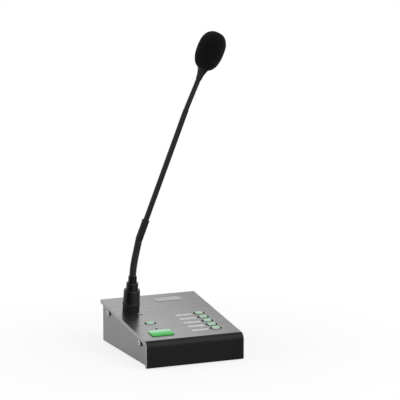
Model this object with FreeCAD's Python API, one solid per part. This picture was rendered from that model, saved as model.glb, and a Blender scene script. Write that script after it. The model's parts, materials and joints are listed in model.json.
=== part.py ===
import FreeCAD, Part
import math
import os

from FreeCAD import Placement, Rotation, Vector

# Paging microphone: a sloping desk base with buttons and a gooseneck microphone in its left rear corner.
# Millimetres. X to the right, -Y to the front, +Z up. The origin is the centre of the base on the desk.

# Base
base_width = 122.0
panel_slope = 8.27
panel_length = 149.8
plate = 4.5
bend_outside = 7.5
rear_edge_height = 53.0
apron_bottom = 1.5
edge_break = 0.3

# Case below the cover
case_half_width = 58.5
case_rear = 71.8
case_bottom = 2.1
sheet = 2.0
fold_outside = 2.2
fit_gap = 0.2

# Back wall
rear_flange = 10.0
corner_relief = 0.6

# Screws
screw_radius = 1.5
screw_head_radius = 2.9
screw_head_height = 2.2
low_head_height = 1.5
washer_height = 2.2
side_screw_rows = (26.9, 128.8)
side_screw_depth = 8.0
side_screw_reach = 7.5
rear_screw_places = [(-46.0, 64.0), (46.0, 64.0)]

# Brackets under the cover's edges
bracket_inner = 50.4
bracket_height = 10.0
bracket_rows = (8.0, 142.0)
bracket_screw_rows = (15.0, 78.0, 137.0)
bracket_screw_grip = 2.8

# Feet and weight
foot_radius = 6.0
foot_recess = 1.6
foot_places = [(x, y) for x in (-38.0, 38.0) for y in (-52.0, 52.0)]
weight_half_width = 46.0
weight_depth = (-62.0, -14.0)
weight_thickness = 5.0

# Panel features, by x and by distance down the slope from the rear edge
zone_x = 36.45
zone_rows = [73.4 + 12.7 * place for place in range(5)]
call_place = (-32.6, 90.6)
talk_place = (-32.6, 124.2)
power_lens_place = (-32.4, 60.8)
talk_lens_place = (-32.2, 108.5)
name_plate_place = (19.0, 18.7)
name_plate_size = (33.3, 11.2)
label_x = 16.0
label_drop = 1.2
label_size = (21.0, 5.1)
lens_radius = 1.5
lens_flange = 2.3

# Buttons
cap_size = (9.8, 6.8)
cap_bow = 1.6
cap_height = 1.2
cap_hole_size = (14.2, 7.8)
cap_hole_corner = 3.2
talk_size = (27.0, 16.6)
talk_height = 1.6
talk_crown = 0.6
talk_play = 0.45
flange_height = 1.0
flange_margin = 1.2
key_travel = 0.8
talk_travel = 1.0
plunger_low = -7.25

# Circuit boards
board = 1.6
main_board_depth = 12.0
main_board_half_width = 46.5
main_board_rows = (58.6, 141.0)
post_radius = 2.5
post_places = [(x, row) for x in (-42.0, 3.5, 42.0) for row in (62.5, 137.5)]
board_screw_grip = 4.0
switch_size = 6.0
switch_height = 3.2
lamp_size = (2.0, 1.6, 0.9)
lamp_offset = 5.2
link_board_height = 10.0
link_board_xs = (-14.0, 44.0)
link_board_ys = (22.0, 68.0)
link_post_places = [(-9.0, 34.0), (-9.0, 56.0), (41.0, 34.0)]

# Integrated circuits under the main board: x, distance down the slope, width, depth, height
chips = [(-14.0, 96.0, 14.0, 14.0, 1.4), (8.0, 100.0, 9.0, 6.0, 1.6), (-14.0, 120.0, 6.0, 5.0, 1.6),
         (20.0, 124.0, 10.0, 10.0, 1.2)]

# Cable sockets at the back, and the flat lead between the boards
link_xs = (6.0, 28.0)
link_size = (16.0, 18.0, 13.6)
link_mouth = (11.8, 12.0, 7.0)
link_mouth_floor = 2.6
link_notch = (6.2, 1.9)
ribbon_x = (10.0, 24.0)
ribbon_y = 12.0
ribbon = 0.9
ribbon_bend = 3.0
header_size = (16.0, 5.0, 2.4)
link_chip = (16.0, 26.0, 34.0, 44.0)

# Neck socket and plug, by height above the panel
neck_place = (-40.0, 46.9)
collar_radius = 10.1
collar_height = 9.2
socket_thread = 8.9
nut_radius = 10.1
cup_floor = -10.0
insert_radius = 6.5
insert_top = 4.0
seal_radius = 10.5
seal_height = 1.5
plug_low_radius = 10.05
plug_top_radius = 9.65
plug_wall = 0.9
plug_top = 27.2
gland_radius = 7.05
gland_top = 36.0
gland_spigot = 6.0
gland_bore = 4.0
bush_radius = 5.1
bush_top = 43.5
barrel_radius = 7.9
pin_circle = 3.9
pin_angles = (90, 210, 330)
pin_radius = 1.2
contact_radius = 1.6

# Lower flexible stretch: a short bend, then straight
lower_start = 44.0
lower_bend = 141.0
lower_turn = 9.5
lower_first = 3.0
lower_length = 45.5
lower_links = 7
lower_shape = dict(disc=3.9, gap=1.6, ball=1.6, cup=1.7, skirt=2.3, skirt_depth=0.75, stalk=0.8)

# Tube and upper flexible stretch
tube_lean = 18.15
tube_radius = 3.2
tube_wall = 0.8
tube_reach = 162.4
tube_crimp = (0.4, 0.8)
ferrule_radius = 4.3
ferrule_length = 24.6
ferrule_core = 6.0
ferrule_lip = (0.4, 0.8)
upper_lean = 20.8
upper_first = 3.2
upper_length = 38.4
upper_links = 3
upper_shape = dict(disc=2.75, gap=1.6, ball=1.2, cup=1.28, skirt=1.9, skirt_depth=0.6, stalk=0.6)

# Head
housing_throat = 3.5
housing_rim = 6.6
housing_length = 12.8
housing_neck = 6.0
housing_reach = 18.0
capsule_radius = 5.0
foam_radius = 16.05
foam_length = 46.9
foam_widest = 0.542
foam_lower_power = 2.47
foam_upper_power = 2.40

x_axis = Vector(1, 0, 0)
y_axis = Vector(0, 1, 0)
z_axis = Vector(0, 0, 1)
half_width = base_width / 2
slope_angle = math.radians(panel_slope)
base_depth = panel_length * math.cos(slope_angle) + plate * math.sin(slope_angle)
front_face = -base_depth / 2
rear_edge = Vector(0, front_face + panel_length * math.cos(slope_angle), rear_edge_height)
panel_frame = Placement(rear_edge, Rotation(x_axis, panel_slope))
bracket_outer = case_half_width - sheet - fit_gap
rear_outer = case_rear - fit_gap
rear_inner = rear_outer - sheet
link_low = link_board_height + board
seal_top = collar_height + seal_height
button_places = [(zone_x, row) for row in zone_rows] + [call_place]
lens_places = [power_lens_place, talk_lens_place]


def box(x0, x1, y0, y1, z0, z1):
    """Block between two limits on each axis."""
    return Part.makeBox(x1 - x0, y1 - y0, z1 - z0, Vector(x0, y0, z0))


def cylinder(radius, low, high, x=0, y=0):
    """Upright cylinder between two heights."""
    return Part.makeCylinder(radius, high - low, Vector(x, y, low))


def turned(points):
    """Solid of revolution about Z through points of radius and height."""
    outline = [Vector(radius, 0, height) for radius, height in points]
    return Part.Face(Part.makePolygon(outline + outline[:1])).revolve(Vector(), z_axis, 360)


def rounded_wire(points, radii):
    """Closed wire through the points, each corner rounded to its radius, or sharp at 0."""
    arcs = []
    for place, (corner, radius) in enumerate(zip(points, radii)):
        back = (points[place - 1] - corner).normalize()
        onward = (points[(place + 1) % len(points)] - corner).normalize()
        half = back.getAngle(onward) / 2
        inward = (back + onward).normalize()
        middle = corner + inward * (radius / math.sin(half) - radius)
        run = radius / math.tan(half)
        arcs.append((corner + back * run, middle, corner + onward * run, radius))
    edges = []
    for place, (start, middle, end, radius) in enumerate(arcs):
        if radius:
            edges.append(Part.Arc(start, middle, end).toShape())
        following = arcs[(place + 1) % len(arcs)][0]
        if (following - end).Length > 1e-6:
            edges.append(Part.LineSegment(end, following).toShape())
    return Part.Wire(edges)


def rounded_block(size, radius, low, high):
    """Upright block with rounded corners, centred on the origin."""
    x, y = size[0] / 2, size[1] / 2
    corners = [Vector(-x, -y, low), Vector(x, -y, low), Vector(x, y, low), Vector(-x, y, low)]
    return Part.Face(rounded_wire(corners, [radius] * 4)).extrude(Vector(0, 0, high - low))


def barrel_block(size, low, high):
    """Upright block with straight long sides and bowed ends, centred on the origin."""
    x, y = size[0] / 2, size[1] / 2
    right = Part.Arc(Vector(x - cap_bow, -y, low), Vector(x, 0, low), Vector(x - cap_bow, y, low)).toShape()
    back = Part.LineSegment(Vector(x - cap_bow, y, low), Vector(cap_bow - x, y, low)).toShape()
    left = Part.Arc(Vector(cap_bow - x, y, low), Vector(-x, 0, low), Vector(cap_bow - x, -y, low)).toShape()
    front = Part.LineSegment(Vector(cap_bow - x, -y, low), Vector(x - cap_bow, -y, low)).toShape()
    return Part.Face(Part.Wire([right, back, left, front])).extrude(Vector(0, 0, high - low))


def put(shape, frame):
    """Copy of a shape in another frame."""
    placed = shape.copy()
    placed.Placement = frame.multiply(shape.Placement)
    return placed


def panel_place(x, row, height=0.0):
    """Frame on the panel, with z straight out of it."""
    return panel_frame.multiply(Placement(Vector(x, -row, height), Rotation()))


def on_panel(shape, place, height=0.0):
    """Copy of a shape at a place on the panel."""
    return put(shape, panel_place(place[0], place[1], height))


def underside(y, gap):
    """Height of the cover's underside at a depth, less a gap."""
    below = (plate + gap) / math.cos(slope_angle)
    return rear_edge.z - (rear_edge.y - y) * math.tan(slope_angle) - below


def chamfered(shape, size, wanted):
    """Shape with its chosen edges broken."""
    return shape.makeChamfer(size, [edge for edge in shape.Edges if wanted(edge)])


def filleted(shape, size, wanted):
    """Shape with its chosen edges rounded."""
    return shape.makeFillet(size, [edge for edge in shape.Edges if wanted(edge)])


def edge_at_height(height):
    """Test for edges that lie at one height."""
    def wanted(edge):
        return all(abs(point.Point.z - height) < 1e-6 for point in edge.Vertexes)
    return wanted


def pan_screw(length, head_height=screw_head_height):
    """Cross-recessed pan-head screw: the head stands on z = 0 and the shank points down."""
    round_over = 0.7
    recess_length = 3.4
    recess_width = 1.0
    recess_depth = 0.6 * head_height
    head = filleted(cylinder(screw_head_radius, 0, head_height), round_over, edge_at_height(head_height))
    shank = cylinder(screw_radius, -length, 0)
    arm = box(-recess_length / 2, recess_length / 2, -recess_width / 2, recess_width / 2,
              head_height - recess_depth, head_height)
    other = arm.copy()
    other.rotate(Vector(), z_axis, 90)
    return head.fuse(shank).cut(arm.fuse(other))


def side_frames(reach):
    """Frames of the four side screws at a distance from the middle, with z straight out of the side."""
    frames = []
    for side in (-1, 1):
        for row in side_screw_rows:
            turn = Placement(Vector(), Rotation(y_axis, 90 * side))
            frames.append(panel_place(side * reach, row, -side_screw_depth).multiply(turn))
    return frames


def top_cover():
    """Thick plate: sloping panel and front apron, bent in one piece, with its cut-outs."""
    front_bend = Vector(0, front_face, rear_edge.z - panel_length * math.sin(slope_angle))
    inner_front = front_face + plate
    profile = [
        rear_edge,
        front_bend,
        Vector(0, front_face, apron_bottom),
        Vector(0, inner_front, apron_bottom),
        Vector(0, inner_front, underside(inner_front, 0)),
        rear_edge - panel_frame.Rotation.multVec(z_axis) * plate,
    ]
    wire = rounded_wire(profile, [0, bend_outside, 0, 0, bend_outside - plate, 0])
    cover = Part.Face(wire).extrude(Vector(base_width, 0, 0))
    cover.translate(Vector(-half_width, 0, 0))
    cover = chamfered(cover, edge_break, lambda edge: all(
        abs(abs(point.Point.x) - half_width) < 1e-6 for point in edge.Vertexes))
    depth = plate + 1.0
    tools = []
    for place in button_places:
        hole = rounded_block(cap_hole_size, cap_hole_corner, -depth, 1.0)
        tools.append(on_panel(hole, place))
    talk_gap = 2 * talk_play
    talk_hole = (talk_size[0] + talk_gap, talk_size[1] + talk_gap)
    tools.append(on_panel(rounded_block(talk_hole, 1.5, -depth, 1.0), talk_place))
    for place in lens_places:
        tools.append(on_panel(cylinder(lens_radius, -depth, 1.0), place))
    tools.append(on_panel(cylinder(socket_thread, -depth, 1.0), neck_place))
    for side in (-1, 1):
        for row in bracket_screw_rows:
            middle = side * (bracket_inner + bracket_outer) / 2
            tools.append(on_panel(cylinder(screw_radius, -depth, bracket_screw_grip - plate), (middle, row)))
    return cover.cut(tools)


def lower_case():
    """Folded sheet: both side walls and the bottom."""
    front = front_face + plate + fit_gap
    inside = case_half_width - sheet
    top = rear_edge_height
    fold = [
        Vector(-case_half_width, front, case_bottom),
        Vector(case_half_width, front, case_bottom),
        Vector(case_half_width, front, top),
        Vector(inside, front, top),
        Vector(inside, front, case_bottom + sheet),
        Vector(-inside, front, case_bottom + sheet),
        Vector(-inside, front, top),
        Vector(-case_half_width, front, top),
    ]
    inner_fold = fold_outside - sheet
    radii = [fold_outside, fold_outside, 0, 0, inner_fold, inner_fold, 0, 0]
    channel = Part.Face(rounded_wire(fold, radii)).extrude(Vector(0, case_rear - front, 0))
    side = [
        Vector(-half_width, front, case_bottom),
        Vector(-half_width, case_rear, case_bottom),
        Vector(-half_width, case_rear, underside(case_rear, fit_gap)),
        Vector(-half_width, front, underside(front, fit_gap)),
    ]
    corner = bend_outside - plate + 1.0
    case = channel.common(Part.Face(rounded_wire(side, [0, 0, 0, corner])).extrude(Vector(base_width, 0, 0)))
    screw_clearance = screw_radius + fit_gap
    tools = [put(cylinder(screw_clearance, -sheet - 1, 1), frame) for frame in side_frames(case_half_width)]
    for x, y in foot_places + rear_screw_places:
        tools.append(cylinder(screw_radius, case_bottom - 1, case_bottom + sheet + 1, x, y))
    return case.cut(tools)


def rear_panel():
    """Back wall with the two cable sockets' cut-outs and a foot folded forwards."""
    half = case_half_width - sheet - fit_gap
    floor = case_bottom + sheet
    wall = box(-half, half, rear_inner, rear_outer, floor, underside(rear_inner, 2 * fit_gap))
    foot = box(-half, half, rear_inner - rear_flange, rear_inner, floor, floor + sheet)
    corners = [box(side * half - corner_relief, side * half + corner_relief, rear_inner - rear_flange - 1,
                   rear_outer + 1, floor - 1, floor + corner_relief) for side in (-1, 1)]
    tools = [cylinder(screw_radius, floor - 1, floor + sheet + 1, x, y) for x, y in rear_screw_places]
    for x in link_xs:
        reach = link_size[0] / 2 + fit_gap
        tools.append(box(x - reach, x + reach, rear_inner - 1, rear_outer + 1,
                         link_low - fit_gap, link_low + link_size[2] + fit_gap))
    return wall.fuse(foot).removeSplitter().cut(tools + corners)


def cover_bracket(side):
    """Metal bar along one edge of the cover's underside, which takes the side screws."""
    near, far = sorted((side * bracket_inner, side * bracket_outer))
    bar = box(near, far, -bracket_rows[1], -bracket_rows[0], -plate - bracket_height, -plate)
    middle = side * (bracket_inner + bracket_outer) / 2
    tools = [cylinder(screw_radius, -plate - bracket_height - 1, -plate + 1, middle, -row)
             for row in bracket_screw_rows]
    bar = put(bar.cut(tools), panel_frame)
    return bar.cut([put(cylinder(screw_radius, -side_screw_reach, 1), frame)
                    for frame in side_frames(case_half_width)])


def bracket_screws():
    """Screws from below through the brackets into blind holes in the cover."""
    length = bracket_height + bracket_screw_grip
    screw = pan_screw(length)
    screw.rotate(Vector(), x_axis, 180)
    middle = (bracket_inner + bracket_outer) / 2
    return [on_panel(screw, (side * middle, row), -plate - bracket_height)
            for side in (-1, 1) for row in bracket_screw_rows]


def side_screws():
    """Two screws on each side."""
    screw = pan_screw(side_screw_reach + washer_height, low_head_height)
    return [put(screw, frame) for frame in side_frames(case_half_width + washer_height)]


def side_washers():
    """Thick black washer under each side screw."""
    washer_radius = screw_head_radius + 0.2
    ring = cylinder(washer_radius, 0, washer_height).cut(cylinder(screw_radius, -1, washer_height + 1))
    return [put(ring, frame) for frame in side_frames(case_half_width)]


def rear_panel_screws():
    """Screws from below into the back wall's foot."""
    screw = pan_screw(2 * sheet + 1.0, low_head_height)
    screw.rotate(Vector(), x_axis, 180)
    return [put(screw, Placement(Vector(x, y, case_bottom), Rotation())) for x, y in rear_screw_places]


def weight_plate():
    """Steel plate on the bottom, held by the front feet's screws."""
    floor = case_bottom + sheet
    top = floor + weight_thickness
    slab = box(-weight_half_width, weight_half_width, *weight_depth, floor, top)
    return slab.cut([cylinder(screw_radius, floor - 1, top + 1, x, y) for x, y in foot_places])


def rubber_feet():
    """Four round feet with a recess for their screws."""
    recess_radius = screw_head_radius + 0.4
    rounding = 0.5
    foot = turned([(screw_radius, case_bottom), (screw_radius, foot_recess), (recess_radius, foot_recess),
                   (recess_radius, 0), (foot_radius - rounding, 0), (foot_radius, rounding),
                   (foot_radius, case_bottom)])
    return [put(foot, Placement(Vector(x, y, 0), Rotation())) for x, y in foot_places]


def foot_screws():
    """Low screws through the feet into the bottom."""
    head_low = 0.5
    head_top = foot_recess
    slot_depth = 0.6
    reach = case_bottom + sheet + 3.0
    head = cylinder(screw_head_radius, head_low, head_top)
    slot = box(-screw_head_radius, screw_head_radius, -0.4, 0.4, head_low, head_low + slot_depth)
    screw = head.fuse(cylinder(screw_radius, head_top, reach)).cut(slot)
    return [put(screw, Placement(Vector(x, y, 0), Rotation())) for x, y in foot_places]


def name_plate():
    """Blank plate at the back of the panel."""
    corner = 4.5
    thickness = 0.45
    plate_block = rounded_block(name_plate_size, corner, 0, thickness)
    return on_panel(filleted(plate_block, 0.15, edge_at_height(thickness)), name_plate_place)


def zone_labels():
    """Blank label strip beside each zone button, a little below the button's middle."""
    thickness = 0.15
    strip = rounded_block(label_size, 0.4, 0, thickness)
    return [on_panel(strip, (label_x, row + label_drop)) for row in zone_rows]


def lens(place):
    """Small domed indicator lens, held by a flange under the panel."""
    dome = 0.45
    flange_top = -plate - fit_gap
    flange_low = flange_top - 0.8
    low = flange_top - 2.0
    neck_radius = lens_radius - 0.05
    body = turned([(0, low), (lens_radius, low), (lens_radius, flange_low), (lens_flange, flange_low),
                   (lens_flange, flange_top), (neck_radius, flange_top), (neck_radius, 0.1),
                   (lens_radius - 0.35, dome * 0.75), (0, dome)])
    return on_panel(body, place)


def plunger(radius):
    """Round foot of a button, down towards its switch."""
    return cylinder(radius, plunger_low, -plate - fit_gap)


def zone_button():
    """Small button: bowed cap, retaining flange and plunger."""
    round_over = 0.7
    cap = barrel_block(cap_size, -plate - fit_gap, cap_height)
    cap = filleted(cap, round_over, edge_at_height(cap_height))
    flange_size = (cap_hole_size[0] + 2 * flange_margin, cap_hole_size[1] + 2 * flange_margin)
    flange = rounded_block(flange_size, 1.5, -plate - fit_gap - flange_height, -plate - fit_gap)
    return cap.fuse([flange, plunger(1.5)]).removeSplitter()


def talk_button():
    """Large button with a flange and a plunger over its switch."""
    round_over = 0.5
    half_depth = talk_size[1] / 2
    crown_radius = (half_depth ** 2 + talk_crown ** 2) / (2 * talk_crown)
    crown_start = Vector(-talk_size[0] / 2 - 1, 0, talk_height - crown_radius)
    crown = Part.makeCylinder(crown_radius, talk_size[0] + 2, crown_start, x_axis)
    cap = rounded_block(talk_size, 1.2, -plate - fit_gap, talk_height + 1).common(crown)
    low_rim = talk_height - talk_crown - 0.1
    cap = filleted(cap, round_over, lambda edge: all(point.Point.z > low_rim for point in edge.Vertexes))
    flange_size = (talk_size[0] + 2 * flange_margin, talk_size[1] + 2 * flange_margin)
    flange = rounded_block(flange_size, 1.5, -plate - fit_gap - flange_height, -plate - fit_gap)
    return cap.fuse([flange, plunger(1.7)]).removeSplitter()


def main_board():
    """Circuit board under the buttons, parallel to the panel."""
    slab = box(-main_board_half_width, main_board_half_width, -main_board_rows[1], -main_board_rows[0],
               -main_board_depth - board, -main_board_depth)
    holes = [cylinder(screw_radius, -main_board_depth - board - 1, -main_board_depth + 1, x, -row)
             for x, row in post_places]
    return put(slab.cut(holes), panel_frame)


def board_posts():
    """Studs that carry the main board under the cover."""
    bore_top = board_screw_grip - main_board_depth
    post = cylinder(post_radius, -main_board_depth, -plate)
    post = post.cut(cylinder(screw_radius, -main_board_depth - 1, bore_top + 1.0))
    return [on_panel(post, place) for place in post_places]


def board_screws():
    """Screws that hold the main board on its posts."""
    screw = pan_screw(board + board_screw_grip)
    screw.rotate(Vector(), x_axis, 180)
    return [on_panel(screw, place, -main_board_depth - board) for place in post_places]


def key_switches():
    """One push switch under each button, its stem at the level where the button is down."""
    half = switch_size / 2
    stem_radius = 1.7
    switches = []
    for place, travel in [(place, key_travel) for place in button_places] + [(talk_place, talk_travel)]:
        body = box(-half, half, -half, half, 0, switch_height)
        stem_top = plunger_low - travel - 0.05 + main_board_depth
        stem = cylinder(stem_radius, switch_height, stem_top)
        switches.append(on_panel(body.fuse(stem), place, -main_board_depth))
    return switches


def key_lamps():
    """Small lamp beside each switch, and one under each indicator lens."""
    half_width, half_depth = lamp_size[0] / 2, lamp_size[1] / 2
    lamp = box(-half_width, half_width, -half_depth, half_depth, 0, lamp_size[2])
    places = [(x - lamp_offset, row) for x, row in button_places + [talk_place]] + lens_places
    return [on_panel(lamp, place, -main_board_depth) for place in places]


def board_chips():
    """Integrated circuits and the lead's headers on both boards."""
    under = -main_board_depth - board
    made = [put(box(x - width / 2, x + width / 2, -row - depth / 2, -row + depth / 2, under - height, under),
                panel_frame) for x, row, width, depth, height in chips]
    middle = sum(ribbon_x) / 2
    half = header_size[0] / 2
    row = (rear_edge.y - ribbon_y) / math.cos(slope_angle) - under * math.tan(slope_angle) - 0.4
    made.append(put(box(middle - half, middle + half, -row - header_size[1] / 2, -row + header_size[1] / 2,
                        under - header_size[2], under), panel_frame))
    header_front = link_board_ys[0] + 2
    made.append(box(middle - half, middle + half, header_front, header_front + header_size[1],
                    link_low, link_low + header_size[2]))
    made.append(box(*link_chip, link_low, link_low + 1.4))
    return made


def link_board():
    """Level circuit board at the back, on three moulded posts."""
    slab = box(*link_board_xs, *link_board_ys, link_board_height, link_low)
    posts = [cylinder(post_radius, case_bottom + sheet, link_board_height, x, y)
             for x, y in link_post_places]
    return slab.fuse(posts)


def link_socket(x):
    """Cable socket: a box open to the back, with the latch's notch above its mouth."""
    width, length, height = link_size
    mouth_width, mouth_depth, mouth_height = link_mouth
    notch_width, notch_height = link_notch
    block = box(x - width / 2, x + width / 2, rear_outer - length, rear_outer, link_low, link_low + height)
    low = link_low + link_mouth_floor
    mouth = box(x - mouth_width / 2, x + mouth_width / 2, rear_outer - mouth_depth, rear_outer + 1,
                low, low + mouth_height)
    notch = box(x - notch_width / 2, x + notch_width / 2, rear_outer - mouth_depth, rear_outer + 1,
                low + mouth_height, low + mouth_height + notch_height)
    return block.cut([mouth, notch])


def ribbon_lead():
    """Flat lead from the main board's header down to the rear board's header."""
    top = rear_edge.z - (rear_edge.y - ribbon_y) * math.tan(slope_angle)
    top -= (main_board_depth + board + header_size[2]) / math.cos(slope_angle) + 0.5
    low = link_low + header_size[2]
    end = link_board_ys[0] + 2 + header_size[1]
    outline = [
        Vector(ribbon_x[0], ribbon_y, top),
        Vector(ribbon_x[0], ribbon_y, low),
        Vector(ribbon_x[0], end, low),
        Vector(ribbon_x[0], end, low + ribbon),
        Vector(ribbon_x[0], ribbon_y + ribbon, low + ribbon),
        Vector(ribbon_x[0], ribbon_y + ribbon, top),
    ]
    wire = rounded_wire(outline, [0, ribbon_bend + ribbon, 0, 0, ribbon_bend, 0])
    return Part.Face(wire).extrude(Vector(ribbon_x[1] - ribbon_x[0], 0, 0))


def pins(low, high, radius):
    """Three round pins on the plug's circle."""
    return [cylinder(radius, low, high, pin_circle * math.cos(math.radians(angle)),
                     pin_circle * math.sin(math.radians(angle))) for angle in pin_angles]


def socket_collar():
    """Collar on the panel, with the threaded cup that reaches through it."""
    cup = turned([(barrel_radius, cup_floor), (barrel_radius, collar_height), (collar_radius, collar_height),
                  (collar_radius, 0), (socket_thread, 0), (socket_thread, cup_floor - 2),
                  (insert_radius, cup_floor - 2), (insert_radius, cup_floor)])
    return on_panel(chamfered(cup, 0.4, lambda edge: edge_at_height(collar_height)(edge)
                              and edge.Curve.Radius > barrel_radius + 1), neck_place)


def socket_insert():
    """Insulating core of the socket."""
    low = cup_floor - 4.0
    flange_top = cup_floor + 1.5
    core = turned([(0, low), (insert_radius, low), (insert_radius, cup_floor), (barrel_radius, cup_floor),
                   (barrel_radius, flange_top), (insert_radius, flange_top), (insert_radius, insert_top),
                   (0, insert_top)])
    return on_panel(core.cut(pins(low - 1, insert_top + 1, contact_radius)), neck_place)


def socket_contacts():
    """Three contact sleeves with solder tails."""
    contacts = []
    for sleeve, bore in zip(pins(cup_floor - 8.0, insert_top - 0.5, contact_radius),
                            pins(cup_floor + 1.0, insert_top, pin_radius)):
        contacts.append(on_panel(sleeve.cut(bore), neck_place))
    return contacts


def socket_nut():
    """Slotted ring nut under the panel."""
    low = -plate - 3.0
    ring = cylinder(nut_radius, low, -plate).cut(cylinder(socket_thread, low - 1, -plate + 1))
    slots = [box(nut_radius - 0.7, nut_radius + 1.0, -1.2, 1.2, low - 1, low + 1.5)]
    for place in range(1, 4):
        slot = slots[0].copy()
        slot.rotate(Vector(), z_axis, 90 * place)
        slots.append(slot)
    return on_panel(ring.cut(slots), neck_place)


def plug_seal():
    """Thin ring between collar and plug."""
    ring = turned([(barrel_radius, collar_height), (seal_radius, collar_height), (seal_radius, seal_top),
                   (barrel_radius, seal_top)])
    ring = chamfered(ring, 0.25, lambda edge: len(edge.Vertexes) == 1
                     and edge.Curve.Radius > seal_radius - 0.1)
    return on_panel(ring, neck_place)


def plug_body():
    """Round shell of the plug, with the barrel that enters the socket."""
    barrel_low = -7.0
    bore = barrel_radius - plug_wall
    roof = plug_top - 2.5
    shell = turned([(bore, barrel_low), (bore, roof), (gland_spigot, roof), (gland_spigot, plug_top),
                    (plug_top_radius, plug_top), (plug_low_radius, seal_top), (barrel_radius, seal_top),
                    (barrel_radius, barrel_low)])
    return on_panel(chamfered(shell, 0.5, lambda edge: edge_at_height(plug_top)(edge)
                              and edge.Curve.Radius > gland_spigot + 1), neck_place)


def plug_insert():
    """Insulating disc that carries the plug's pins."""
    low = 8.5
    high = 14.0
    radius = barrel_radius - plug_wall
    return on_panel(cylinder(radius, low, high).cut(pins(low - 1, high + 1, pin_radius)), neck_place)


def plug_pins():
    """Three contact pins."""
    return [on_panel(pin, neck_place) for pin in pins(cup_floor + 4.0, 17.0, pin_radius)]


def plug_gland():
    """First step above the plug, screwed into its roof."""
    spigot_low = plug_top - 6.0
    body = turned([(gland_bore, spigot_low), (gland_bore, gland_top), (gland_radius, gland_top),
                   (gland_radius, plug_top), (gland_spigot, plug_top), (gland_spigot, spigot_low)])
    return on_panel(chamfered(body, 0.4, lambda edge: edge_at_height(gland_top)(edge)
                              and edge.Curve.Radius > gland_bore + 1), neck_place)


def flex_ball(top, shape):
    """Stalk and ball below a pivot, up from a solid disc."""
    stalk = cylinder(shape["stalk"], top - shape["gap"] - 0.5, top)
    return stalk.fuse(Part.makeSphere(shape["ball"], Vector(0, 0, top)))


def flex_cup(shape, reach):
    """Socket around a pivot at the origin, with a solid stub up to a given reach."""
    depth = shape["skirt_depth"]
    skirt = cylinder(shape["skirt"], -depth, reach)
    return skirt.cut(Part.makeSphere(shape["cup"]))


def flex_link(length, shape):
    """One link of a flexible stretch: a cup at its lower pivot, a disc, and a ball at its upper pivot."""
    disc = cylinder(shape["disc"], shape["gap"], length - shape["gap"])
    rims = [shape["gap"], length - shape["gap"]]
    disc = filleted(disc, 0.4, lambda edge: any(edge_at_height(rim)(edge) for rim in rims))
    core = disc.fuse(flex_cup(shape, length / 2))
    return core.cut(Part.makeSphere(shape["cup"])).fuse(flex_ball(length, shape)).removeSplitter()


def neck_point(distance):
    """Place on the lower stretch's centreline, by distance along it, as offset to the right and height."""
    bend_length = lower_bend * math.radians(lower_turn)
    turned_by = min(distance, bend_length) / lower_bend
    offset = lower_bend * (1 - math.cos(turned_by))
    height = lower_start + lower_bend * math.sin(turned_by)
    onward = max(distance - bend_length, 0)
    return Vector(offset + onward * math.sin(turned_by), 0, height + onward * math.cos(turned_by))


def lean(angle):
    """Unit vector that leans to the right by an angle."""
    return Vector(math.sin(math.radians(angle)), 0, math.cos(math.radians(angle)))


def lean_of(start, end):
    """Angle by which the line between two places leans to the right."""
    return math.degrees(math.atan2(end.x - start.x, end.z - start.z))


lower_step = (lower_length - lower_first) / lower_links
lower_pivots = [neck_point(lower_first + lower_step * place) for place in range(lower_links + 1)]
tube_end = lower_pivots[-1] + lean(tube_lean) * tube_reach
upper_start = tube_end + lean(tube_lean) * upper_first
upper_step = (upper_length - upper_first) / upper_links
upper_pivots = [upper_start + lean(upper_lean) * (upper_step * place) for place in range(upper_links + 1)]
lower_leans = [lean_of(*pair) for pair in zip(lower_pivots, lower_pivots[1:])] + [tube_lean]
upper_leans = [upper_lean] * (upper_links + 1)


def neck_frame(pivot, angle):
    """Frame at a pivot of the neck, with z along the piece above it."""
    return panel_place(*neck_place).multiply(Placement(pivot, Rotation(y_axis, angle)))


def plug_bush():
    """Second step, with the stub and ball that carry the lowest link."""
    spigot_low = gland_top - 6.0
    pivot = lower_pivots[0].z
    disc, disc_top = lower_shape["disc"], pivot - lower_shape["gap"]
    body = turned([(0, spigot_low), (gland_bore, spigot_low), (gland_bore, gland_top),
                   (bush_radius, gland_top), (bush_radius, bush_top), (disc, bush_top), (disc, disc_top),
                   (0, disc_top)])
    return on_panel(body.fuse(flex_ball(pivot, lower_shape)).removeSplitter(), neck_place)


def neck_ferrule():
    """Smooth sleeve with the cup for the topmost lower link and the bore for the tube."""
    mouth = -0.2
    mouth_break = 0.8
    lip_radius, lip_low = ferrule_radius + ferrule_lip[0], ferrule_length - ferrule_lip[1]
    body = turned([(0, mouth), (ferrule_radius - mouth_break, mouth), (ferrule_radius, mouth + mouth_break),
                   (ferrule_radius, lip_low), (lip_radius, lip_low + 0.2),
                   (lip_radius, ferrule_length - 0.2), (lip_radius - 0.2, ferrule_length),
                   (tube_radius, ferrule_length), (tube_radius, ferrule_core), (0, ferrule_core)])
    return put(body.cut(Part.makeSphere(lower_shape["cup"])), neck_frame(lower_pivots[-1], tube_lean))


def neck_tube():
    """Rigid thin tube, its upper end plugged by the stub and ball of the upper stretch."""
    stub = 10.0
    bore = tube_radius - tube_wall
    pivot = tube_reach + upper_first
    disc, disc_top = upper_shape["disc"], pivot - upper_shape["gap"]
    crimp_radius, crimp_low = tube_radius + tube_crimp[0], tube_reach - tube_crimp[1]
    body = turned([(bore, ferrule_core), (tube_radius, ferrule_core), (tube_radius, crimp_low),
                   (crimp_radius, crimp_low + 0.2), (crimp_radius, tube_reach - 0.2),
                   (tube_radius, tube_reach), (disc, tube_reach), (disc, disc_top), (0, disc_top),
                   (0, tube_reach - stub), (bore, tube_reach - stub)])
    body = body.fuse(flex_ball(pivot, upper_shape)).removeSplitter()
    return put(body, neck_frame(lower_pivots[-1], tube_lean))


def flare_radius(rise):
    """Radius of the housing's flare, by the share of its length above the throat."""
    return housing_throat + (housing_rim - housing_throat) * rise ** 1.9


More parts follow.
